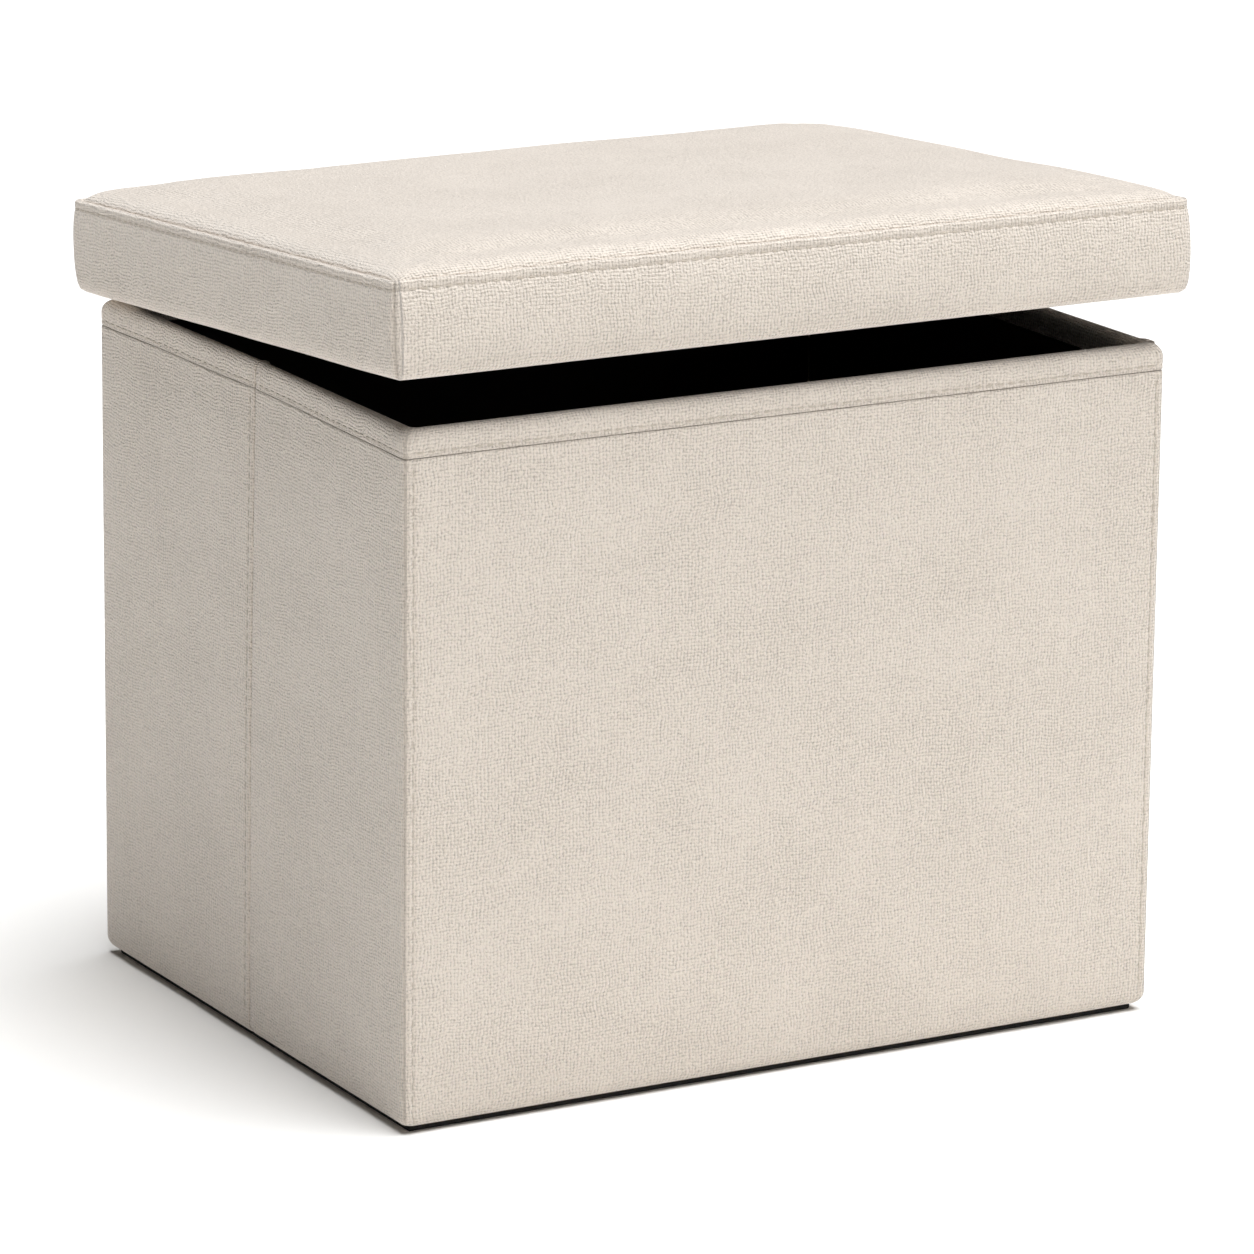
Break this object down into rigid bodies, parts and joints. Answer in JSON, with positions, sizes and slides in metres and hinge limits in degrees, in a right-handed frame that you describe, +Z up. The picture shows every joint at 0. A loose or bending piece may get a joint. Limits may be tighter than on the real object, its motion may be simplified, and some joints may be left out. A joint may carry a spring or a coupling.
{
  "type": "storage ottoman",
  "caption": "Folding storage ottoman in linen: an open box whose end walls fold inwards at a crease, under a padded lid hinged on a strip of cloth along the back wall.",
  "frame": {"origin": "on the floor, under the middle of the box, in the face that the ottoman stands on", "axes": "+X along the long front wall to the right as seen from the front, +Y from the front wall to the back wall, +Z up"},
  "size_m": [0.498, 0.3998, 0.4785],
  "materials": {
    "linen": "matte",
    "dark_lining": "matte",
    "fibreboard": "matte",
    "foam": "matte",
    "wadding": "matte",
    "staple_steel": "satin"
  },
  "bodies": {
    "back_wall": {"back_board": "fibreboard", "back_cover": "linen", "back_lining": "dark_lining", "back_rim_band": "linen", "base_bottom_cloth": "dark_lining", "base_board": "fibreboard", "base_lining": "dark_lining", "hinge_strip_on_wall": "linen"},
    "left_rear_panel": {"left_rear_board": "fibreboard", "left_rear_cover": "linen", "left_rear_lining": "dark_lining", "left_rear_rim_band": "linen"},
    "left_front_panel": {"left_front_board": "fibreboard", "left_front_cover": "linen", "left_front_lining": "dark_lining", "left_front_rim_band": "linen"},
    "right_rear_panel": {"right_rear_board": "fibreboard", "right_rear_cover": "linen", "right_rear_lining": "dark_lining", "right_rear_rim_band": "linen"},
    "right_front_panel": {"right_front_board": "fibreboard", "right_front_cover": "linen", "right_front_lining": "dark_lining", "right_front_rim_band": "linen"},
    "front_wall": {"front_board": "fibreboard", "front_cover": "linen", "front_lining": "dark_lining", "front_rim_band": "linen"},
    "lid": {"lid_board": "fibreboard", "lid_foam": "foam", "lid_wadding": "wadding", "lid_top_cover": "linen", "lid_band_front": "linen", "lid_band_right": "linen", "lid_band_rear": "linen", "lid_band_left": "linen", "lid_hem": "linen", "lid_under_cloth": "dark_lining", "lid_staples": "staple_steel", "hinge_strip_on_lid": "linen"}
  },
  "joints": [
    {"name": "lid_hinge", "type": "hinge", "parent": "back_wall", "child": "lid", "pos_m": [0, 0.1882, 0.386], "axis": [-1, 0, 0], "range_deg": [-3.9, 96.1]},
    {"name": "fold_left_rear", "type": "hinge", "parent": "back_wall", "child": "left_rear_panel", "pos_m": [-0.2225, 0.172, 0.195], "axis": [0, 0, -1], "range_deg": [-87, 0]},
    {"name": "fold_left_crease", "type": "hinge", "parent": "left_rear_panel", "child": "left_front_panel", "pos_m": [-0.2379, 0, 0.195], "axis": [0, 0, 1], "range_deg": [-174, 0]},
    {"name": "fold_left_front", "type": "hinge", "parent": "left_front_panel", "child": "front_wall", "pos_m": [-0.2225, -0.172, 0.195], "axis": [0, 0, -1], "range_deg": [-87, 0]},
    {"name": "fold_right_rear", "type": "hinge", "parent": "back_wall", "child": "right_rear_panel", "pos_m": [0.2225, 0.172, 0.195], "axis": [0, 0, 1], "range_deg": [-87, 0]},
    {"name": "fold_right_crease", "type": "hinge", "parent": "right_rear_panel", "child": "right_front_panel", "pos_m": [0.2379, 0, 0.195], "axis": [0, 0, -1], "range_deg": [-174, 0]}
  ],
  "couplings": [
    {"joint": "fold_left_crease", "follows": "fold_left_rear", "ratio": 2},
    {"joint": "fold_left_front", "follows": "fold_left_rear", "ratio": 1},
    {"joint": "fold_right_rear", "follows": "fold_left_rear", "ratio": 1},
    {"joint": "fold_right_crease", "follows": "fold_left_rear", "ratio": 2}
  ]
}
